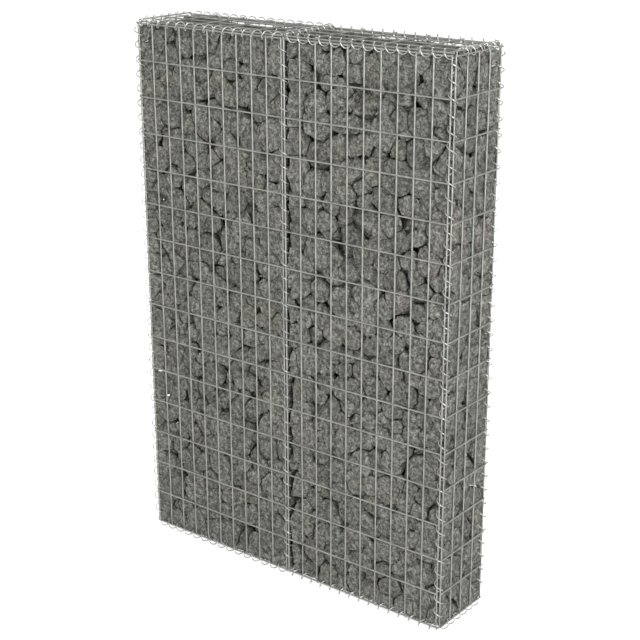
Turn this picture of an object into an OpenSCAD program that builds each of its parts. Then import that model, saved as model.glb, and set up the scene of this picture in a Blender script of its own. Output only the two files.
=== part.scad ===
// Gabion wall: two bays of welded wire mesh, laced together with wire spirals and filled with stone.
// X runs along the wall, Y through it from front to back, Z up. The origin is at the bottom centre.

/* [Bays] */
// Width of one bay, between the centres of a front panel's outer wires
bay_w = 500; // [300:50:1000]
// Depth of the basket, between the centres of an end panel's outer wires
basket_depth = 200; // [150:50:500]
// Height of the basket, between the centres of a front panel's top and bottom wires
basket_h = 1500; // [500:100:2000]

/* [Mesh] */
// Gap between the upright wires, centre to centre, fitted to a whole number of cells
mesh_w = 50; // [40:5:75]
// Gap between the level wires, centre to centre, fitted to a whole number of cells
mesh_h = 100; // [75:5:120]
// Diameter of the mesh wire
wire_d = 4; // [3:0.1:4.4]
// How deep two crossing wires are welded into each other
weld_depth = 0.6; // [0.3:0.1:1]
// How far a wire's end stands out past the side of the last wire that it crosses
wire_past = 0.6; // [0.4:0.1:2]

/* [Seams] */
// Gap between the wire ends of two panels side by side
side_gap = 4.3; // [3:0.1:6]
// Gap between a long panel's wire ends and the end panel beside them
corner_gap = 3.2; // [2:0.1:5]
// Gap between the wire ends of one panel and the panel that they point at
panel_gap = 0.7; // [0.4:0.1:3]

/* [Spirals] */
// Diameter of the spiral wire
spiral_wire_d = 3; // [2:0.1:3.4]
// Gap inside a spiral, round the edge wires that it laces
lace_gap = 0.4; // [0.3:0.1:3]
// Gap kept between two spirals that end at one corner
spiral_gap = 1.2; // [0.6:0.1:5]

/* [Stone] */
// Gap between the stone and the mesh
stone_gap = 0.6; // [0.4:0.1:5]
// How far the stone ends below the lid's lower wires
stone_drop = 1.2; // [0.6:0.2:60]

/* [Hidden] */

LEFT = -1;
RIGHT = 1;
FRONT = -1;
BACK = 1;
TOP = 1;
BOTTOM = -1;

// A mesh has two layers of wire, each this far from the panel's middle plane
layer = (wire_d - weld_depth) / 2;
wire_sides = 6;

// Whole numbers of cells, and the gaps between wires that they give; a lid's cross wires stand
// on every second upright of the long panels, so the cells along a bay are even in number
cells_along = 2 * round(bay_w / mesh_w / 2);
cells_deep = round(basket_depth / mesh_w);
cells_up = round(basket_h / mesh_h);
cell_along = bay_w / cells_along;
cell_deep = basket_depth / cells_deep;
cell_up = basket_h / cells_up;

// From the centre of the last wire crossed to a wire's end
wire_stub = wire_d / 2 + wire_past;
// Steps from one panel's edge wires to the middle plane of the panel beside it
end_step = wire_stub + corner_gap + wire_d / 2 + layer;
face_step = wire_stub + panel_gap + wire_d / 2 + layer;
lid_step = wire_stub + panel_gap + wire_d / 2 + layer;

// Middle planes of the panels
bay_start = wire_stub + side_gap / 2;
bay_end = bay_start + bay_w;
face_y = basket_depth / 2 + face_step;
end_x = bay_end + end_step;

// Spirals are all wound to the size that the widest pair of edge wires needs, and each runs
// midway between the edge wires that it laces
widest_lacing = norm([end_step + layer, lid_step + layer]);
coil_r = (widest_lacing + wire_d + spiral_wire_d) / 2 + lace_gap;
coil_reach = coil_r + spiral_wire_d / 2;
corner_x = (bay_end + end_x - layer) / 2;
upright_spiral_y = (face_y - layer + basket_depth / 2) / 2;
long_spiral_y = (face_y + layer + basket_depth / 2) / 2;
long_spiral_rise = (lid_step - layer) / 2;
cross_spiral_x = (bay_end + end_x + layer) / 2;
cross_spiral_rise = (lid_step + layer) / 2;

// Levels: the lowest spirals touch the ground at zero
base_z = coil_reach + cross_spiral_rise;
top_z = base_z + basket_h;

// Turns that a spiral makes for each cell, so that it never meets a crossing wire
corner_turns = 5 / 2;
seam_turns = 8 / 3;
long_turns = 3 / 2;
end_turns = 5 / 3;
middle_turns = 2;
// Straight pieces that a turn is made of, and sides of the drawn spiral wire
turn_steps = 8;
spiral_sides = 3;

// ---- Mesh ----

// One straight wire along Z, with two of its flats square to X
module wire(length) {
    flat_r = wire_d / 2 / cos(180 / wire_sides);
    rotate([0, 0, 180 / wire_sides])
        cylinder(r = flat_r, h = length, center = true, $fn = wire_sides);
}

// Mesh in the XY plane, centred, long wires along X in the lower layer and cross wires above them
module mesh(length, width, long_wires, cross_wires) {
    long_pitch = width / (long_wires - 1);
    cross_pitch = length / (cross_wires - 1);
    for (i = [0 : long_wires - 1])
        translate([0, i * long_pitch - width / 2, -layer])
            rotate([0, 90, 0]) wire(length + 2 * wire_stub);
    for (i = [0 : cross_wires - 1])
        translate([i * cross_pitch - length / 2, 0, layer])
            rotate([90, 0, 0]) rotate([0, 0, 90]) wire(width + 2 * wire_stub);
}

// Upright mesh facing -Y, level wires on its outside
module upright_mesh(width, cells) {
    rotate([90, 0, 0]) rotate([0, 0, 90])
        mesh(basket_h, width, cells + 1, cells_up + 1);
}

module long_panel(side, face) {
    color("silver")
        translate([side * (bay_start + bay_w / 2), face * face_y, base_z + basket_h / 2])
            rotate([0, 0, face == FRONT ? 0 : 180]) upright_mesh(bay_w, cells_along);
}

module end_panel(side) {
    color("silver")
        translate([side * end_x, 0, base_z + basket_h / 2])
            rotate([0, 0, side * 90]) upright_mesh(basket_depth, cells_deep);
}

module partition() {
    color("silver")
        translate([0, 0, base_z + basket_h / 2])
            rotate([0, 0, 90]) upright_mesh(basket_depth, cells_deep);
}

// Lid or base of one bay, cross wires on its outside
module level_panel(side, level) {
    z = level == TOP ? top_z + lid_step : base_z - lid_step;
    color("silver")
        translate([side * (bay_start + bay_w / 2), 0, z])
            rotate([level == TOP ? 0 : 180, 0, 0])
                mesh(bay_w, basket_depth, cells_deep + 1, cells_along / 2 + 1);
}

// ---- Spirals ----

// One corner of the spiral wire's section, at a number of steps along the coil
function coil_point(step, corner, pitch, hand, anchor) =
    let (
        turn = hand * 360 * step / turn_steps,
        round_wire = 360 * corner / spiral_sides,
        r = coil_r + spiral_wire_d / 2 * cos(round_wire)
    )
    [r * cos(turn), r * sin(turn), anchor + pitch * step / turn_steps
        + spiral_wire_d / 2 * sin(round_wire)];

// Coil round the Z axis between two heights; it points along X at the anchor height
module coil(low, high, pitch, hand, anchor) {
    step_h = pitch / turn_steps;
    first = ceil((low - anchor) / step_h);
    last = floor((high - anchor) / step_h);
    rings = last - first + 1;
    points = [
        for (step = [first : last], corner = [0 : spiral_sides - 1])
            coil_point(step, corner, pitch, hand, anchor)
    ];
    // Every face is a triangle; they wind the other way round on a right-handed coil
    sides = [
        for (ring = [0 : rings - 2], corner = [0 : spiral_sides - 1])
            let (
                here = ring * spiral_sides + corner,
                beside = ring * spiral_sides + (corner + 1) % spiral_sides,
                above = here + spiral_sides,
                above_beside = beside + spiral_sides
            )
            each [[here, above, beside], [beside, above, above_beside]]
    ];
    start_cap = [for (i = [0 : spiral_sides - 1]) i];
    end_cap = [for (i = [spiral_sides - 1 : -1 : 0]) (rings - 1) * spiral_sides + i];
    faces = concat([start_cap, end_cap], sides);
    function reversed(face) = [for (i = [len(face) - 1 : -1 : 0]) face[i]];
    color("gainsboro")
        polyhedron(points = points, faces = hand < 0 ? faces : [for (face = faces) reversed(face)]);
}

// Upright spiral at a corner or a seam, left-handed; it ends clear of the level spirals
module upright_spiral(x, face, turns, phase) {
    pitch = cell_up / turns;
    reach = coil_reach - long_spiral_rise + spiral_gap + spiral_wire_d / 2;
    translate([x, face * upright_spiral_y, 0])
        coil(base_z + reach, top_z - reach, pitch, -1, base_z + phase * pitch);
}

// Spiral along one bay, lacing a long panel to the lid or the base
module long_spiral(side, face, level, phase) {
    pitch = cell_along / long_turns;
    inner = (spiral_gap + spiral_wire_d) / 2;
    z = level == TOP ? top_z + long_spiral_rise : base_z - long_spiral_rise;
    low = side == LEFT ? -bay_end : inner;
    high = side == LEFT ? -inner : bay_end;
    translate([0, face * long_spiral_y, z])
        rotate([90, 0, 90])
            coil(low, high, pitch, side * level, side * (bay_start + phase * pitch));
}

// Spiral through the wall, lacing an end panel or the partition to the lids or the bases
module cross_spiral(x, level, turns, hand, phase) {
    pitch = cell_deep / turns;
    z = level == TOP ? top_z + cross_spiral_rise : base_z - cross_spiral_rise;
    reach = long_spiral_y - coil_reach - spiral_gap - spiral_wire_d / 2;
    translate([x, 0, z])
        rotate([-90, 0, 0])
            coil(-reach, reach, pitch, hand, phase * pitch - basket_depth / 2);
}

// ---- Stone ----

// Room that a spiral takes up in the stone, along Z
module spiral_channel(length) {
    cylinder(r = coil_reach + stone_gap, h = length, center = true, $fn = 48);
}

// Outer shape of the stone in one bay, clear of the mesh and of every spiral
module stone_fill(side) {
    inner_x = layer + wire_d / 2 + stone_gap;
    outer_x = end_x - layer - wire_d / 2 - stone_gap;
    half_y = face_y - layer - wire_d / 2 - stone_gap;
    floor_z = base_z - lid_step + layer + wire_d / 2 + stone_gap;
    roof_z = top_z + lid_step - layer - wire_d / 2 - stone_drop;
    long_cut = 2 * (outer_x + coil_reach);
    upright_cut = 3 * basket_h;
    color("dimgray")
        difference() {
            translate([side < 0 ? -outer_x : inner_x, -half_y, floor_z])
                cube([outer_x - inner_x, 2 * half_y, roof_z - floor_z]);
            for (x = [0, side * corner_x], face = [FRONT, BACK])
                translate([x, face * upright_spiral_y, base_z]) spiral_channel(upright_cut);
            for (face = [FRONT, BACK], z = [base_z - long_spiral_rise, top_z + long_spiral_rise])
                translate([0, face * long_spiral_y, z])
                    rotate([0, 90, 0]) spiral_channel(long_cut);
            for (x = [0, side * cross_spiral_x], z = [base_z - cross_spiral_rise, top_z + cross_spiral_rise])
                translate([x, 0, z])
                    rotate([90, 0, 0]) spiral_channel(long_cut);
        }
}

// ---- Assembly ----

// Panels
long_panel(LEFT, FRONT);  // front_panel_left
long_panel(RIGHT, FRONT);  // front_panel_right
long_panel(LEFT, BACK);  // back_panel_left
long_panel(RIGHT, BACK);  // back_panel_right
end_panel(LEFT);  // end_panel_left
end_panel(RIGHT);  // end_panel_right
partition();  // middle_partition
level_panel(LEFT, TOP);  // lid_left
level_panel(RIGHT, TOP);  // lid_right
level_panel(LEFT, BOTTOM);  // base_panel_left
level_panel(RIGHT, BOTTOM);  // base_panel_right

// Upright spirals; the last number is the share of a turn that keeps them clear of the level wires
upright_spiral(-corner_x, FRONT, corner_turns, 0.66);  // front_left_corner_spiral
upright_spiral(0, FRONT, seam_turns, 0.08);  // front_seam_spiral
upright_spiral(corner_x, FRONT, corner_turns, 0.86);  // front_right_corner_spiral
upright_spiral(-corner_x, BACK, corner_turns, 0.34);  // back_left_corner_spiral
upright_spiral(0, BACK, seam_turns, 0.92);  // back_seam_spiral
upright_spiral(corner_x, BACK, corner_turns, 0.16);  // back_right_corner_spiral

// Spirals round the lids; a last number of theirs keeps a coil clear of the wires that cross it
long_spiral(LEFT, FRONT, TOP, 0.11);  // top_front_left_spiral
long_spiral(RIGHT, FRONT, TOP, 0.11);  // top_front_right_spiral
long_spiral(LEFT, BACK, TOP, 0);  // top_back_left_spiral
long_spiral(RIGHT, BACK, TOP, 0.4);  // top_back_right_spiral
cross_spiral(-cross_spiral_x, TOP, end_turns, -1, 0.803);  // top_left_end_spiral
cross_spiral(0, TOP, middle_turns, 1, 0.25);  // top_middle_spiral
cross_spiral(cross_spiral_x, TOP, end_turns, 1, 0.303);  // top_right_end_spiral

// Spirals round the bases
long_spiral(LEFT, FRONT, BOTTOM, 0.11);  // bottom_front_left_spiral
long_spiral(RIGHT, FRONT, BOTTOM, 0.11);  // bottom_front_right_spiral
long_spiral(LEFT, BACK, BOTTOM, 0);  // bottom_back_left_spiral
long_spiral(RIGHT, BACK, BOTTOM, 0);  // bottom_back_right_spiral
cross_spiral(-cross_spiral_x, BOTTOM, end_turns, 1, 0.47);  // bottom_left_end_spiral
cross_spiral(0, BOTTOM, middle_turns, -1, 0.25);  // bottom_middle_spiral
cross_spiral(cross_spiral_x, BOTTOM, end_turns, -1, 0.97);  // bottom_right_end_spiral

// Stone
stone_fill(LEFT);  // stone_fill_left
stone_fill(RIGHT);  // stone_fill_right
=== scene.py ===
import math

import bmesh
import bpy
import numpy as np
from mathutils import Euler, Matrix, Vector, kdtree, noise


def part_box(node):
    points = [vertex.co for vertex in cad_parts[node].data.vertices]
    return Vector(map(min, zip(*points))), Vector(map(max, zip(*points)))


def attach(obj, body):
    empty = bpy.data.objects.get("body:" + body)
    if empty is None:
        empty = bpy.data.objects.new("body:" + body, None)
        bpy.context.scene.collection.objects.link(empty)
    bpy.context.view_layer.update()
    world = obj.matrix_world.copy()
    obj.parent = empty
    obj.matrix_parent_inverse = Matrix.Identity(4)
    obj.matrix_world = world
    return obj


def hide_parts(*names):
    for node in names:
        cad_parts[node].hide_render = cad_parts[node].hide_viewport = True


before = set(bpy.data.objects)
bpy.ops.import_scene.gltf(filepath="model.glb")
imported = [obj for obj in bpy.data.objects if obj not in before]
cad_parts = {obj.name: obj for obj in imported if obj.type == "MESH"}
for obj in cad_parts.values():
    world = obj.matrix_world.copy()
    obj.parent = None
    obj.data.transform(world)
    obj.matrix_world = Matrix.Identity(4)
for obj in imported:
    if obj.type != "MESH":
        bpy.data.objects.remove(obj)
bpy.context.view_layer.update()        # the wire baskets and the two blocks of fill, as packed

tiny = 1e-6        # slack for what should come out whole, or should never be nought


def letGo():
    # nothing stays selected, the loaded nodes included
    if bpy.context.object and bpy.context.object.mode != "OBJECT":
        bpy.ops.object.mode_set(mode="OBJECT")
    bpy.ops.object.select_all(action="DESELECT")


def pickUp(*things):
    letGo()
    for thing in things:
        thing.select_set(True)
    bpy.context.view_layer.objects.active = things[0]


def settle(thing):
    # the place goes into the mesh, the object back to the origin
    pickUp(thing)
    bpy.ops.object.transform_apply(location=True, rotation=True, scale=True)


def useModifier(thing, kind, **settings):
    pickUp(thing)
    modifier = thing.modifiers.new(kind.title(), kind)
    for name, value in settings.items():
        setattr(modifier, name, value)
    bpy.ops.object.modifier_apply(modifier=modifier.name)


def repeat(thing, step, count):
    useModifier(thing, "ARRAY", count=count, use_relative_offset=False, use_constant_offset=True,
                constant_offset_displace=step)


def joinAs(name, things):
    pickUp(*things)
    if len(things) > 1:
        bpy.ops.object.join()
    thing = bpy.context.object
    thing.name = name
    thing.data.name = name
    return thing


def finishPiece(thing, material, slot, *nodes, angle=40):
    pickUp(thing)
    bpy.ops.object.shade_smooth_by_angle(angle=math.radians(angle))
    thing.data.materials.clear()
    thing.data.materials.append(material)
    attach(thing, "root")
    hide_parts(*nodes)
    return thing


def paint(hexCode):
    # sRGB hex to the linear colour that the shaders take
    parts = [int(hexCode[i:i + 2], 16) / 255 for i in (1, 3, 5)]
    linear = [p / 12.92 if p <= 0.04045 else ((p + 0.055) / 1.055) ** 2.4 for p in parts]
    return (*linear, 1.0)


def perSize(millimetres):
    # how often a pattern repeats in a metre when one patch is this big
    return 1000.0 / millimetres


def addNode(tree, kind, settings=None, links=None, stops=None):
    node = tree.nodes.new(kind)
    for name, value in (settings or {}).items():
        if isinstance(name, int) or name in node.inputs:
            node.inputs[name].default_value = value
        else:
            setattr(node, name, value)
    for name, source in (links or {}).items():
        tree.links.new(source, node.inputs[name])
    if stops:
        ramp = node.color_ramp.elements
        while len(ramp) < len(stops):
            ramp.new(0.5)
        for element, (place, colour) in zip(ramp, stops):
            element.position = place
            element.color = colour
    return node


def betweenValues(tree, source, low, high, given=(0.0, 1.0)):
    # the given span of a value stretched to run from low to high
    return addNode(tree, "ShaderNodeMapRange",
                   {"From Min": given[0], "From Max": given[1], "To Min": low, "To Max": high},
                   {"Value": source}).outputs["Result"]


def newFinish(name):
    material = bpy.data.materials.new(name)
    material.use_nodes = True
    tree = material.node_tree
    tree.nodes.clear()
    return material, tree


def grey(value):
    return (value, value, value, 1.0)


# sizes in millimetres, the depth of the bump in metres
zincWire = dict(dull="#a9aaa4", bright="#d2d3cd", spangle=7.0, spangleShare=0.45, cloud=42.0, dullUpTo=0.35,
                drip=2.2, dripStrength=0.5, dripDepth=0.0002, roughLow=0.42, roughHigh=0.62, metal=0.75)
# the spiral wire's zinc is painted lighter than the mesh wire's, a painted highlight that stands in for the bright
# glints on its thin turns; its finer spangle and lower roughness are its own
spiralLookWithHighlight = dict(zincWire, dull="#bcbdb7", bright="#e8e9e4", spangle=5.0, roughLow=0.26, roughHigh=0.42)


def galvanisedWire(name, look):
    # hot-dip galvanised steel: a dull grey zinc skin with soft spangles, neither polished nor painted
    material, tree = newFinish(name)
    place = addNode(tree, "ShaderNodeTexCoord").outputs["Object"]
    spangle = addNode(tree, "ShaderNodeTexVoronoi", {"Scale": perSize(look["spangle"])}, {"Vector": place})
    cloud = addNode(tree, "ShaderNodeTexNoise", {"Scale": perSize(look["cloud"]), "Detail": 4.0}, {"Vector": place})
    blend = addNode(tree, "ShaderNodeMath", {"operation": "MULTIPLY_ADD", 1: look["spangleShare"]},
                    {0: spangle.outputs["Color"], 2: cloud.outputs["Fac"]})
    skin = addNode(tree, "ShaderNodeValToRGB", None, {"Fac": blend.outputs[0]},
                   [(look["dullUpTo"], paint(look["dull"])), (1.0, paint(look["bright"]))])
    drip = addNode(tree, "ShaderNodeTexNoise", {"Scale": perSize(look["drip"]), "Detail": 3.0}, {"Vector": place})
    rough = betweenValues(tree, cloud.outputs["Fac"], look["roughLow"], look["roughHigh"])
    bump = addNode(tree, "ShaderNodeBump", {"Strength": look["dripStrength"], "Distance": look["dripDepth"]},
                   {"Height": drip.outputs["Fac"]})
    shader = addNode(tree, "ShaderNodeBsdfPrincipled", {"Metallic": look["metal"]},
                     {"Base Color": skin.outputs["Color"], "Roughness": rough, "Normal": bump.outputs["Normal"]})
    addNode(tree, "ShaderNodeOutputMaterial", None, {"Surface": shader.outputs["BSDF"]})
    return material


# patches, grains and stains in millimetres, the depth of the bump in metres
rockLook = dict(
    greys=[(0.0, "#6f706a"), (0.25, "#7b7c76"), (0.5, "#81827c"), (0.7, "#777870"), (0.85, "#868780"),
           (0.94, "#7d7c73"), (1.0, "#827e7a")],
    mottle=11.0, mottleTone=(0.32, 1.64), grain=4.6, grainTone=(0.55, 1.45), noiseBand=(0.36, 0.64),
    stain=42.0, stainBand=(0.52, 0.72), stainMost=0.5, stainTint="#e3d3cd", ownPlace=(3.1, 5.7, 9.3),
    rough=(0.78, 0.96), grainRelief=0.35, reliefDepth=0.006)


def brokenRock(name, look):
    # crushed grey basalt and granite: split faces, matt, with light and dark mineral grains
    material, tree = newFinish(name)
    place = addNode(tree, "ShaderNodeTexCoord").outputs["Object"]
    tone = addNode(tree, "ShaderNodeAttribute", {"attribute_name": "stoneTone"}).outputs["Fac"]
    # every stone has its own place in the patterns
    apart = addNode(tree, "ShaderNodeVectorMath", {"operation": "SCALE", 0: look["ownPlace"]}, {"Scale": tone})
    own = addNode(tree, "ShaderNodeVectorMath", {"operation": "ADD"}, {0: place, 1: apart.outputs[0]}).outputs[0]
    body = addNode(tree, "ShaderNodeValToRGB", None, {"Fac": tone},
                   [(at, paint(code)) for at, code in look["greys"]])
    # each patch and grain is drawn a little coarser than in the rock, so that it shows at all
    mottle = addNode(tree, "ShaderNodeTexNoise",
                     {"Scale": perSize(look["mottle"]), "Detail": 6.0, "Roughness": 0.68}, {"Vector": own})
    mottled = betweenValues(tree, mottle.outputs["Fac"], *look["mottleTone"], given=look["noiseBand"])
    grain = addNode(tree, "ShaderNodeTexNoise",
                    {"Scale": perSize(look["grain"]), "Detail": 2.0, "Roughness": 0.6}, {"Vector": own})
    grained = betweenValues(tree, grain.outputs["Fac"], *look["grainTone"], given=look["noiseBand"])
    both = addNode(tree, "ShaderNodeMath", {"operation": "MULTIPLY"}, {0: mottled, 1: grained})
    shaded = addNode(tree, "ShaderNodeVectorMath", {"operation": "SCALE"},
                     {0: body.outputs["Color"], "Scale": both.outputs[0]})
    # a faint reddish stain, in drifts that run over several stones
    stain = addNode(tree, "ShaderNodeTexNoise", {"Scale": perSize(look["stain"]), "Detail": 3.0}, {"Vector": place})
    stained = betweenValues(tree, stain.outputs["Fac"], 0.0, look["stainMost"], given=look["stainBand"])
    colour = addNode(tree, "ShaderNodeMix",
                     {"data_type": "RGBA", "blend_type": "MULTIPLY", 7: paint(look["stainTint"])},
                     {0: stained, 6: shaded.outputs[0]})
    rough = betweenValues(tree, grain.outputs["Fac"], *look["rough"])
    relief = addNode(tree, "ShaderNodeMath", {"operation": "MULTIPLY_ADD", 1: look["grainRelief"]},
                     {0: grain.outputs["Fac"], 2: mottle.outputs["Fac"]})
    bump = addNode(tree, "ShaderNodeBump", {"Strength": 1.0, "Distance": look["reliefDepth"]},
                   {"Height": relief.outputs[0]})
    shader = addNode(tree, "ShaderNodeBsdfPrincipled", None,
                     {"Base Color": colour.outputs[2], "Roughness": rough, "Normal": bump.outputs["Normal"]})
    addNode(tree, "ShaderNodeOutputMaterial", None, {"Surface": shader.outputs["BSDF"]})
    return material


meshZinc = galvanisedWire("galvanised_mesh_wire", zincWire)
spiralZinc = galvanisedWire("galvanised_spiral_wire", spiralLookWithHighlight)
rock = brokenRock("crushed_grey_rock", rockLook)


# layer: how far each layer of wires lies off the panel's middle; past: how far a wire runs past its last crossing
meshWire = dict(radius=0.002, layer=0.0017, past=0.0026, sides=10, easedEnd=0.0004, wide=0.050, high=0.100,
                beadRadius=0.0024, beadThick=0.0013, wander=0.0005, wanderSize=0.23, wanderApart=5.3)


def straightWire(start, along, length, step, count, rings):
    # one drawn wire with eased ends, then the row of them
    middle = Vector(start) + Vector(along) * (length / 2)
    turn = Vector(along).to_track_quat("Z", "Y").to_euler()
    letGo()
    bpy.ops.mesh.primitive_cylinder_add(vertices=meshWire["sides"], radius=meshWire["radius"], depth=length,
                                        location=middle, rotation=turn)
    wire = bpy.context.object
    settle(wire)
    bpy.ops.object.mode_set(mode="EDIT")
    bpy.ops.mesh.select_mode(type="FACE")
    bpy.ops.mesh.select_all(action="DESELECT")
    bm = bmesh.from_edit_mesh(wire.data)
    for face in bm.faces:
        face.select = abs(face.normal.dot(Vector(along))) > 0.9
    bmesh.update_edit_mesh(wire.data)
    bpy.ops.mesh.bevel(offset=meshWire["easedEnd"], segments=1)
    bpy.ops.mesh.select_mode(type="EDGE")
    bpy.ops.mesh.select_all(action="DESELECT")
    bm = bmesh.from_edit_mesh(wire.data)
    for edge in bm.edges:
        edge.select = edge.calc_length() > length / 2
    bmesh.update_edit_mesh(wire.data)
    bpy.ops.mesh.subdivide(number_cuts=rings)
    bpy.ops.object.mode_set(mode="OBJECT")
    repeat(wire, step, count)
    return wire


def weldBeads(start, normal, stepA, countA, stepB, countB):
    # the little collar of metal squeezed out where two wires are welded
    letGo()
    turn = Vector(normal).to_track_quat("Z", "Y").to_euler()
    bpy.ops.mesh.primitive_uv_sphere_add(segments=8, ring_count=3, radius=meshWire["beadRadius"],
                                         location=start, rotation=turn,
                                         scale=(1, 1, meshWire["beadThick"] / meshWire["beadRadius"]))
    bead = bpy.context.object
    settle(bead)
    repeat(bead, stepA, countA)
    repeat(bead, stepB, countB)
    return bead


def meshPanel(name, node, up, across, out):
    # up: the way the inside wires run; across: the way the outside wires run; out: the outer face
    low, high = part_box(node)
    up, across, out = Vector(up), Vector(across), Vector(out)
    past, layer = meshWire["past"], meshWire["layer"]
    size = high - low
    corner = Vector(low) + (up + across) * past                      # the first crossing
    flat = Vector([abs(c) for c in out])
    corner = corner - flat * corner.dot(flat) + flat * (low.dot(flat) + high.dot(flat)) / 2
    upLength, acrossLength = size.dot(up) - 2 * past, size.dot(across) - 2 * past
    uprights = round(acrossLength / meshWire["wide"]) + 1
    levels = round(upLength / meshWire["high"]) + 1
    acrossStep, upStep = across * acrossLength / (uprights - 1), up * upLength / (levels - 1)
    inside = straightWire(corner - up * past - out * layer, up, size.dot(up), acrossStep, uprights, levels)
    outside = straightWire(corner - across * past + out * layer, across, size.dot(across), upStep, levels, uprights)
    beads = weldBeads(corner, out, acrossStep, uprights, upStep, levels)
    panel = joinAs(name, [inside, outside, beads])
    # no drawn wire is dead straight: the whole panel wanders by a fraction of a millimetre
    for vertex in panel.data.vertices:
        drift = noise.noise_vector(vertex.co / meshWire["wanderSize"] + out * meshWire["wanderApart"])
        vertex.co += drift * meshWire["wander"]
    return finishPiece(panel, meshZinc, "mesh_wire", node)


right, back, up = (1, 0, 0), (0, 1, 0), (0, 0, 1)
for side in ("left", "right"):
    meshPanel("front_mesh_" + side, "front_panel_" + side, up, right, (0, -1, 0))
    meshPanel("back_mesh_" + side, "back_panel_" + side, up, right, (0, 1, 0))
    meshPanel("lid_mesh_" + side, "lid_" + side, right, back, (0, 0, 1))
    meshPanel("base_mesh_" + side, "base_panel_" + side, right, back, (0, 0, -1))
meshPanel("end_mesh_left", "end_panel_left", up, back, (-1, 0, 0))
meshPanel("end_mesh_right", "end_panel_right", up, back, (1, 0, 0))
meshPanel("partition_mesh", "middle_partition", up, back, (1, 0, 0))
print("mesh panels done")


frontLow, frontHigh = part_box("front_panel_right")
baseZ, topZ = frontLow.z + meshWire["past"], frontHigh.z - meshWire["past"]
bayStart, bayEnd = frontLow.x + meshWire["past"], frontHigh.x - meshWire["past"]
cornerLow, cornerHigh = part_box("front_right_corner_spiral")
cornerX = (cornerLow.x + cornerHigh.x) / 2

# a spiral starts and ends on a whole step of its turn, in the places that its node does
spiralWire = dict(radius=0.0015, coil=0.010991, sides=8, perTurn=18, steps=8, marks=16,
                  uprightEnd=0.012541, uprightY=0.10265, longY=0.10435, longRise=0.00265, longInner=0.0021,
                  crossX=0.51035, crossRise=0.00435, crossEnd=0.08916, crossAnchor=-0.100,
                  crossPitch=0.030, middlePitch=0.025)

spiralRuns = []        # points along each spiral's wire and on the line it winds round, for the stones to keep off


def windSpiral(name, node, hand, pitch, anchor, low, high, turn, centre):
    # a ring of wire wound up round the local Z axis, its ends closed, then turned to lie along its edge
    step = pitch / spiralWire["steps"]
    first, last = math.ceil((low - anchor) / step - tiny), math.floor((high - anchor) / step + tiny)
    turns = (last - first) / spiralWire["steps"]
    coil, climb = spiralWire["coil"], pitch / (2 * math.pi)
    letGo()
    bpy.ops.mesh.primitive_circle_add(vertices=spiralWire["sides"], radius=spiralWire["radius"],
                                      location=(coil, 0, 0), rotation=(-hand * math.atan2(coil, climb), 0, 0))
    spiral = bpy.context.object
    settle(spiral)
    useModifier(spiral, "SCREW", axis="Z", angle=hand * turns * 2 * math.pi, screw_offset=turns * pitch,
                iterations=1, steps=round(turns * spiralWire["perTurn"]),
                render_steps=round(turns * spiralWire["perTurn"]), use_merge_vertices=False)
    bpy.ops.object.mode_set(mode="EDIT")
    bpy.ops.mesh.select_mode(type="EDGE")
    bpy.ops.mesh.select_all(action="DESELECT")
    bpy.ops.mesh.select_non_manifold()
    bpy.ops.mesh.fill_holes(sides=0)
    bpy.ops.mesh.select_all(action="SELECT")
    bpy.ops.mesh.normals_make_consistent(inside=False)
    bpy.ops.object.mode_set(mode="OBJECT")
    spiral.rotation_euler = (0, 0, hand * first * 2 * math.pi / spiralWire["steps"])
    spiral.location = (0, 0, anchor + first * step)
    settle(spiral)
    spiral.rotation_euler = turn
    spiral.location = centre
    settle(spiral)
    spiral = joinAs(name, [spiral])
    lie = Matrix.Translation(centre) @ Euler(turn).to_matrix().to_4x4()
    marks = spiralWire["marks"]
    for k in range(round(turns * marks) + 1):
        angle = hand * 2 * math.pi * (first / spiralWire["steps"] + k / marks)
        rise = anchor + first * step + k * pitch / marks
        spiralRuns.append((lie @ Vector((coil * math.cos(angle), coil * math.sin(angle), rise)),
                           lie @ Vector((0, 0, rise))))
    return finishPiece(spiral, spiralZinc, "spiral_wire", node, angle=60)


# upright spirals: place along the wall, face, share of a pitch at which the first turn starts
uprightSpirals = [("front_left_corner", -1, -1, 0.66), ("front_seam", 0, -1, 0.08),
                  ("front_right_corner", 1, -1, 0.86), ("back_left_corner", -1, 1, 0.34),
                  ("back_seam", 0, 1, 0.92), ("back_right_corner", 1, 1, 0.16)]
cornerPitch, seamPitch = 2 * meshWire["high"] / 5, 3 * meshWire["high"] / 8
for label, side, face, start in uprightSpirals:
    pitch = cornerPitch if side else seamPitch
    windSpiral(label + "_lacing", label + "_spiral", -1, pitch, baseZ + start * pitch,
               baseZ + spiralWire["uprightEnd"], topZ - spiralWire["uprightEnd"], (0, 0, 0),
               (side * cornerX, face * spiralWire["uprightY"], 0))

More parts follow.
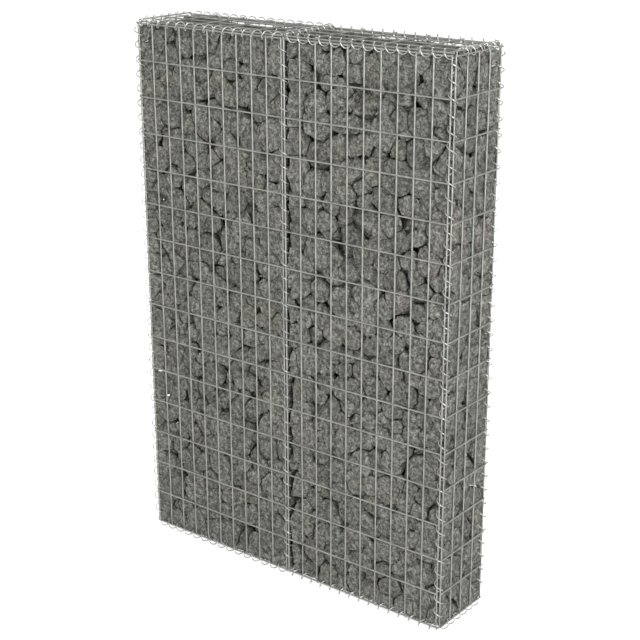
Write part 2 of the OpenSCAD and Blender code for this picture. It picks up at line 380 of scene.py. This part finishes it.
# long and cross spirals of the lids and bases, with the shares of a pitch at which their turns start
longPitch = meshWire["wide"] * 2 / 3
longStart = dict(top_front_left=0.11, top_front_right=0.11, top_back_left=0.0, top_back_right=0.4,
                 bottom_front_left=0.11, bottom_front_right=0.11, bottom_back_left=0.0, bottom_back_right=0.0)
crossStart = dict(top_left_end=0.803, top_middle=0.25, top_right_end=0.303,
                  bottom_left_end=0.47, bottom_middle=0.25, bottom_right_end=0.97)
alongX, alongY = (math.pi / 2, 0, math.pi / 2), (-math.pi / 2, 0, 0)
for level, levelName, edgeZ in ((1, "top", topZ), (-1, "bottom", baseZ)):
    for face, faceName in ((-1, "front"), (1, "back")):
        for side, sideName in ((-1, "left"), (1, "right")):
            label = levelName + "_" + faceName + "_" + sideName
            ends = sorted((side * spiralWire["longInner"], side * bayEnd))
            windSpiral(label + "_lacing", label + "_spiral", side * level, longPitch,
                       side * (bayStart + longStart[label] * longPitch), *ends, alongX,
                       (0, face * spiralWire["longY"], edgeZ + level * spiralWire["longRise"]))
    for side, place in ((-1, "left_end"), (0, "middle"), (1, "right_end")):
        label = levelName + "_" + place
        hand = level * (side if side else 1)
        pitch = spiralWire["crossPitch" if side else "middlePitch"]
        windSpiral(label + "_lacing", label + "_spiral", hand, pitch,
                   crossStart[label] * pitch + spiralWire["crossAnchor"],
                   -spiralWire["crossEnd"], spiralWire["crossEnd"], alongY,
                   (side * spiralWire["crossX"], 0, edgeZ + level * spiralWire["crossRise"]))
print("lacing spirals done")


stoneFill = dict(
    # how the stones lie: radius and throws of each size, how far they may crowd, bury themselves and reach
    sizes=[(0.042, 200), (0.035, 1200), (0.029, 5000), (0.023, 11000), (0.018, 12000)],
    spread=(0.9, 1.1), crowd=0.84, bury=0.45, reach=0.16, bands=3, seed=41,
    # the planes that split them: width of a joint (less than nothing presses them together) and lean
    joint=(-0.0105, -0.0030), openJoint=(-0.003, 0.003), openShare=0.05,
    tilt=0.09, edgeTilt=0.03, wallTilt=0.12, seamTilt=0.30, leastCut=1e-5,
    # how far short of each wall they stay
    recess=(0.0004, 0.0050), seamRecess=(0.001, 0.014), lidRecess=(0.0, 0.009), baseRecess=(0, 0.001),
    edgeRecess=(-0.003, 0.0),
    # the corners knocked off, as shares of the way from the middle, and the edges that are kept
    corners=3, cornerCut=(0.82, 0.98), deepCut=(0.54, 0.76), deepShare=0.24, cornerPick=(0.8, 1.0), cornerLean=0.3,
    edgeKeep=0.012, nearEdge=1.8,
    # wear: beyond how many radii, how much stays, and the crown of a face that shows
    roundFrom=1.2, roundKeep=0.6, crown=0.0012, crownDepth=0.012, crownMost=1.5,
    # longest edges of the mesh near the surface, deep inside and near a spiral
    fine=0.0090, coarse=0.034, finest=0.0055, skin=0.017, outermost=0.004, nearCoil=0.015, slack=1.35, halvings=4,
    # relief: pattern, size and height
    relief=[("VORONOI", 0.032, 0.0070), ("CLOUDS", 0.018, 0.0060), ("CLOUDS", 0.009, 0.0036)],
    reliefMiddle=0.52, smooth=0.4, wireRoom=0.0032)


def scatterStones(low, high, rand):
    # stones thrown in, large first; each stays if it is clear enough of those already lying
    places, radii = np.zeros((0, 3)), np.zeros(0)
    for radius, darts in stoneFill["sizes"]:
        for dart in range(darts):
            size = radius * rand.uniform(*stoneFill["spread"])
            edge = size * stoneFill["bury"]
            place = np.array([rand.uniform(low[k] + edge, high[k] - edge) for k in range(3)])
            if len(places):
                near = np.linalg.norm(places - place, axis=1)
                if (near < stoneFill["crowd"] * (radii + size)).any():
                    continue
            places, radii = np.vstack([places, place]), np.append(radii, size)
    return places, radii


def trim(bm, point, normal):
    # everything on the far side of the plane goes, and the cut is closed
    if max(((v.co - point).dot(normal) for v in bm.verts), default=0) < stoneFill["leastCut"]:
        return
    cut = bmesh.ops.bisect_plane(bm, geom=bm.verts[:] + bm.edges[:] + bm.faces[:], dist=tiny,
                                 plane_co=point, plane_no=normal, clear_outer=True)
    rim = [e for e in cut["geom_cut"] if isinstance(e, bmesh.types.BMEdge)]
    if rim:
        bmesh.ops.contextual_create(bm, geom=rim)


def leaning(normal, amount, rand):
    return (Vector(normal) + Vector([rand.uniform(-amount, amount) for k in range(3)])).normalized()


def splitStone(index, places, radii, walls, rand):
    # the room between its neighbours, cut by planes a joint apart, then its corners knocked off
    place = Vector(places[index])
    bm = bmesh.new()
    bmesh.ops.create_cube(bm, size=stoneFill["reach"], matrix=Matrix.Translation(place))
    gaps = np.linalg.norm(places - places[index], axis=1)
    order = [j for j in np.argsort(gaps) if j != index and gaps[j] < stoneFill["reach"]]
    # a stone near an edge of the block gets no open joint and no deep cut, so that the edge stays filled
    reach = radii[index] * stoneFill["nearEdge"]
    offEdge = sum(wall - place.dot(Vector(normal)) < reach for wall, normal, recess in walls) < 2
    for j in order:
        way = Vector(places[j]) - place
        share = (gaps[j] ** 2 + radii[index] ** 2 - radii[j] ** 2) / (2 * gaps[j])
        gaping = rand.uniform() < stoneFill["openShare"] and offEdge
        joint = rand.uniform(*stoneFill["openJoint" if gaping else "joint"]) / 2
        trim(bm, place + way.normalized() * (share - joint), leaning(way.normalized(), stoneFill["tilt"], rand))
    # the walls it touches; under the lid stones lie loose
    beside = [normal != up and max(v.co.dot(Vector(normal)) for v in bm.verts) > wall - stoneFill["edgeKeep"]
              for wall, normal, recess in walls]
    for wall, normal, recess in walls:
        # a stone along an edge of the basket is pressed against the wires, one at the seam lies as it fell
        atSeam = recess == stoneFill["seamRecess"]
        cornered = sum(beside) > 1 and not atSeam
        normal = Vector(normal)
        short = rand.uniform(*(stoneFill["edgeRecess"] if cornered else recess))
        lean = stoneFill["seamTilt" if atSeam else "edgeTilt" if cornered else "wallTilt"]
        trim(bm, place + normal * (wall - place.dot(normal) - short), leaning(normal, lean, rand))
    for k in range(stoneFill["corners"]):
        if len(bm.verts) < 4:
            break
        centre = sum((v.co for v in bm.verts), Vector()) / len(bm.verts)
        far = max(bm.verts, key=lambda v: (v.co - centre).length * rand.uniform(*stoneFill["cornerPick"]))
        way = far.co - centre
        depth = "deepCut" if rand.uniform() < stoneFill["deepShare"] and offEdge else "cornerCut"
        point = centre + way * rand.uniform(*stoneFill[depth])
        lean = leaning(way.normalized(), stoneFill["cornerLean"], rand)
        # no cut may take anything off the outer edges of the block
        edge = [v for v in bm.verts if sum(normal != up and wall - v.co.dot(Vector(normal)) < stoneFill["edgeKeep"]
                                           for wall, normal, recess in walls) > 1]
        if not any((v.co - point).dot(lean) > 0 for v in edge):
            trim(bm, point, lean)
    return bm


wireTree = kdtree.KDTree(len(spiralRuns))
for number, (wirePoint, axisPoint) in enumerate(spiralRuns):
    wireTree.insert(wirePoint, number)
wireTree.balance()


def nearSpirals(points, reach):
    # which points lie within reach of a line that one of the spirals winds round
    near = np.zeros(len(points), bool)
    for level, edgeZ in ((-1, baseZ), (1, topZ)):
        for face in (-1, 1):
            near |= np.hypot(points[:, 1] - face * spiralWire["longY"],
                             points[:, 2] - edgeZ - level * spiralWire["longRise"]) < reach
        for side in (-1, 0, 1):
            near |= np.hypot(points[:, 0] - side * spiralWire["crossX"],
                             points[:, 2] - edgeZ - level * spiralWire["crossRise"]) < reach
    offLine = np.minimum(np.abs(np.abs(points[:, 0]) - cornerX), np.abs(points[:, 0]))
    return near | (np.hypot(offLine, np.abs(points[:, 1]) - spiralWire["uprightY"]) < reach)


def clearOfWires(points, low, high):
    # inside the block, outside the spirals of the lid and of the near corner, and grooved where turns of another pass
    points = np.clip(points, low, high)
    room = spiralWire["coil"] + stoneFill["wireRoom"]
    # each line that such a spiral winds round: an axis and the place on it, twice
    openLines = [(1, face * spiralWire["longY"], 2, topZ + spiralWire["longRise"]) for face in (-1, 1)]
    openLines += [(0, side * spiralWire["crossX"], 2, topZ + spiralWire["crossRise"]) for side in (-1, 0, 1)]
    openLines += [(0, cornerX, 1, -spiralWire["uprightY"])]
    for first, firstLine, second, secondLine in openLines:
        aside, across = points[:, first] - firstLine, points[:, second] - secondLine
        away = np.maximum(np.hypot(aside, across), tiny)
        grow = np.maximum(room / away, 1)
        points[:, first], points[:, second] = firstLine + aside * grow, secondLine + across * grow
    for index in np.nonzero(nearSpirals(points, room))[0]:
        wirePoint, number, gap = wireTree.find(Vector(points[index]))
        if gap < stoneFill["wireRoom"]:
            inward = (wirePoint - spiralRuns[number][1]).normalized()
            points[index] = wirePoint + inward * stoneFill["wireRoom"]
    return np.clip(points, low, high)


def pointsOf(mesh):
    points = np.zeros(len(mesh.vertices) * 3)
    mesh.vertices.foreach_get("co", points)
    return points.reshape(-1, 3)


def splitLongEdges(band, low, high):
    # edges near the outside are halved until they are short, those deep in the fill stay long
    for halving in range(stoneFill["halvings"]):
        mesh = band.data
        points = pointsOf(mesh)
        ends = np.zeros(len(mesh.edges) * 2, int)
        mesh.edges.foreach_get("vertices", ends)
        a, b = points[ends[0::2]], points[ends[1::2]]
        middle = (a + b) / 2
        depth = np.minimum(middle - low, high - middle).min(1)
        limit = np.where(depth < stoneFill["skin"], stoneFill["fine"], stoneFill["coarse"])
        limit[(depth < stoneFill["outermost"]) & nearSpirals(middle, stoneFill["nearCoil"])] = stoneFill["finest"]
        long = np.linalg.norm(a - b, axis=1) > limit * stoneFill["slack"]
        if not long.any():
            break
        mesh.vertices.foreach_set("select", np.zeros(len(mesh.vertices), bool))
        mesh.polygons.foreach_set("select", np.zeros(len(mesh.polygons), bool))
        mesh.edges.foreach_set("select", long)
        bpy.ops.object.mode_set(mode="EDIT")
        bpy.ops.mesh.select_mode(type="EDGE")
        bpy.ops.mesh.subdivide(number_cuts=1)
        bpy.ops.mesh.select_all(action="SELECT")
        bpy.ops.mesh.quads_convert_to_tris(quad_method="SHORTEST_DIAGONAL", ngon_method="BEAUTY")
        bpy.ops.object.mode_set(mode="OBJECT")


def roundOff(band, low, high, places, radii):
    # corners far from a stone's middle are worn down, and the face it shows is crowned; the block's edges stay full
    mesh = band.data
    points = pointsOf(mesh)
    number = np.zeros(len(points))
    mesh.attributes["stoneNumber"].data.foreach_get("value", number)
    number = np.rint(number).astype(int)
    middle, size = places[number], radii[number]
    away = points - middle
    far = np.maximum(np.linalg.norm(away, axis=1), tiny)
    over = np.maximum(far - stoneFill["roundFrom"] * size, 0) * (1 - stoneFill["roundKeep"])
    moved = -away * (over / far)[:, None]
    for axis in range(3):
        sideways = (far ** 2 - away[:, axis] ** 2) / size ** 2
        worn = np.minimum(sideways, stoneFill["crownMost"])
        for wall, inward in ((low, 1), (high, -1)):
            depth = np.abs(points[:, axis] - wall[axis])
            shown = np.clip(1 - depth / stoneFill["crownDepth"], 0, 1)
            moved[:, axis] += inward * stoneFill["crown"] * shown * worn
    deep = np.minimum(points - low, high - points)
    deep[:, 2] = points[:, 2] - low[2]        # the lid leaves the top stones loose
    fromEdge = np.sort(deep, axis=1)[:, 1]
    moved *= np.clip(fromEdge / stoneFill["edgeKeep"] - 1, 0, 1)[:, None]
    mesh.vertices.foreach_set("co", (points + moved).ravel())
    mesh.update()


def reliefPattern(name, kind, size):
    pattern = bpy.data.textures.new(name, kind)
    pattern.noise_scale = size
    if kind == "VORONOI":
        pattern.weight_1, pattern.weight_2 = -1.0, 1.0        # creases between flat split faces
    return pattern


def stoneBand(name, node, low, high, stones, places, radii, tones):
    # the stones of one stretch of a bay as one piece, roughened by relief of three sizes
    verts, faces, numbers = [], [], []
    for number, bm in stones:
        bm.verts.index_update()
        start = len(verts)
        verts += [v.co[:] for v in bm.verts]
        faces += [[start + v.index for v in f.verts] for f in bm.faces]
        numbers += [number] * len(bm.verts)
        bm.free()
    mesh = bpy.data.meshes.new(name)
    mesh.from_pydata(verts, [], faces)
    band = bpy.data.objects.new(name, mesh)
    bpy.context.scene.collection.objects.link(band)
    mesh.attributes.new("stoneTone", "FLOAT", "POINT").data.foreach_set("value", tones[numbers])
    mesh.attributes.new("stoneNumber", "FLOAT", "POINT").data.foreach_set("value", numbers)
    pickUp(band)
    bpy.ops.object.mode_set(mode="EDIT")
    bpy.ops.mesh.select_all(action="SELECT")
    bpy.ops.mesh.normals_make_consistent(inside=False)
    bpy.ops.mesh.quads_convert_to_tris(quad_method="SHORTEST_DIAGONAL", ngon_method="BEAUTY")
    bpy.ops.object.mode_set(mode="OBJECT")
    splitLongEdges(band, low, high)
    roundOff(band, low, high, places, radii)
    useModifier(band, "SMOOTH", factor=stoneFill["smooth"], iterations=1)
    for kind, size, height in stoneFill["relief"]:
        useModifier(band, "DISPLACE", texture=reliefPattern(name + "_relief", kind, size), texture_coords="LOCAL",
                    strength=height, mid_level=stoneFill["reliefMiddle"])
    mesh = band.data
    mesh.vertices.foreach_set("co", clearOfWires(pointsOf(mesh), low, high).ravel())
    mesh.attributes.remove(mesh.attributes["stoneNumber"])
    mesh.update()
    return finishPiece(band, rock, "stone", node, angle=32)


def fillBay(side):
    node = "stone_fill_" + side
    low, high = [np.array(corner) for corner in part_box(node)]
    rand = np.random.RandomState(stoneFill["seed"] + (side == "right"))
    places, radii = scatterStones(low, high, rand)
    flush = stoneFill["recess"]
    # how far out each wall stands, its outward way, and how far short of it the stones stay
    walls = [(-low[1], (0, -1, 0), flush), (high[1], back, flush),
             (high[2], up, stoneFill["lidRecess"]), (-low[2], (0, 0, -1), stoneFill["baseRecess"]),
             (-low[0], (-1, 0, 0), stoneFill["seamRecess"] if side == "right" else flush), (high[0], right, flush)]
    tones = rand.uniform(0, 1, len(places))
    bands = [[] for k in range(stoneFill["bands"])]
    for number in range(len(places)):
        share = (places[number][2] - low[2]) / (high[2] - low[2])
        stone = splitStone(number, places, radii, walls, rand)
        bands[min(int(share * stoneFill["bands"]), stoneFill["bands"] - 1)].append((number, stone))
    for count, stones in enumerate(bands):
        band = stoneBand("stones_%s_%d" % (side, count + 1), node, low, high, stones, places, radii, tones)
        print(band.name, len(stones), "stones", sum(len(p.vertices) - 2 for p in band.data.polygons), "triangles")


fillBay("left")
fillBay("right")
print("stones done")


studio = dict(floorSize=40.0, floorDrop=0.0005, floorPaint="#e9e9e8", floorGlow=0.8, sky=0.4,
              zenith=0.9, wallsUpTo=0.1, zenithFrom=0.7)


def layFloor():
    letGo()
    bpy.ops.mesh.primitive_plane_add(size=studio["floorSize"], location=(0, 0, -studio["floorDrop"]))
    floor = bpy.context.object
    floor.name = "studio_floor"
    material, tree = newFinish("studio_paper")
    seen = addNode(tree, "ShaderNodeLightPath").outputs["Is Camera Ray"]
    matt = addNode(tree, "ShaderNodeBsdfDiffuse", {"Color": paint(studio["floorPaint"])})
    glow = addNode(tree, "ShaderNodeEmission", {"Color": grey(1.0), "Strength": studio["floorGlow"]})
    both = addNode(tree, "ShaderNodeAddShader", None, {0: matt.outputs[0], 1: glow.outputs[0]})
    shown = addNode(tree, "ShaderNodeMixShader", None, {0: seen, 1: matt.outputs[0], 2: both.outputs[0]})
    addNode(tree, "ShaderNodeOutputMaterial", None, {"Surface": shown.outputs[0]})
    floor.data.materials.append(material)


def hangLamp(name, place, aim, size, power):
    lamp = bpy.data.lights.new(name, "AREA")
    lamp.shape = "RECTANGLE"
    lamp.size, lamp.size_y = size
    lamp.energy = power
    thing = bpy.data.objects.new(name, lamp)
    bpy.context.scene.collection.objects.link(thing)
    thing.location = place
    thing.rotation_euler = (Vector(aim) - Vector(place)).to_track_quat("-Z", "Y").to_euler()


def paintSky():
    world = bpy.data.worlds.new("studio_air")
    world.use_nodes = True
    bpy.context.scene.world = world
    tree = world.node_tree
    tree.nodes.clear()
    rays = addNode(tree, "ShaderNodeLightPath").outputs
    seen = addNode(tree, "ShaderNodeMath", {"operation": "MAXIMUM"},
                   {0: rays["Is Camera Ray"], 1: rays["Is Transmission Ray"]})
    # the ceiling of the studio is darker than its walls
    way = addNode(tree, "ShaderNodeTexCoord").outputs["Generated"]
    rise = addNode(tree, "ShaderNodeSeparateXYZ", None, {0: way}).outputs["Z"]
    ceiling = betweenValues(tree, rise, 1.0, studio["zenith"], given=(studio["wallsUpTo"], studio["zenithFrom"]))
    level = betweenValues(tree, seen.outputs[0], studio["sky"], 1.0)
    strength = addNode(tree, "ShaderNodeMath", {"operation": "MULTIPLY"}, {0: level, 1: ceiling})
    air = addNode(tree, "ShaderNodeBackground", {"Color": grey(1.0)}, {"Strength": strength.outputs[0]})
    addNode(tree, "ShaderNodeOutputWorld", None, {"Surface": air.outputs[0]})


layFloor()
paintSky()
wallMiddle = (0, 0, 0.8)
hangLamp("soft_key", (4.2, -3.0, 2.8), wallMiddle, (2.0, 1.8), 218)
hangLamp("soft_high", (-0.6, -4.2, 3.4), wallMiddle, (1.4, 1.4), 26)
hangLamp("soft_left", (-4.6, 0.8, 1.8), wallMiddle, (2.4, 2.2), 80)
hangLamp("soft_back", (-1.4, 4.6, 1.8), wallMiddle, (3.0, 2.4), 115)

lens = dict(place=(2.2452, -2.8278, 1.9874), turn=38.0, tip=19.05, roll=-0.12, focal=78.32, sensor=36.0)
camera = bpy.data.cameras.new("camera")
camera.sensor_width = lens["sensor"]
camera.lens = lens["focal"]
eye = bpy.data.objects.new("camera", camera)
bpy.context.scene.collection.objects.link(eye)
eye.location = lens["place"]
aim = (Matrix.Rotation(math.radians(lens["turn"]), 3, "Z") @ Matrix.Rotation(math.radians(90 - lens["tip"]), 3, "X")
       @ Matrix.Rotation(math.radians(lens["roll"]), 3, "Z"))
eye.rotation_euler = aim.to_euler()
bpy.context.scene.camera = eye
bpy.context.scene.view_settings.view_transform = "Standard"
print("studio done")
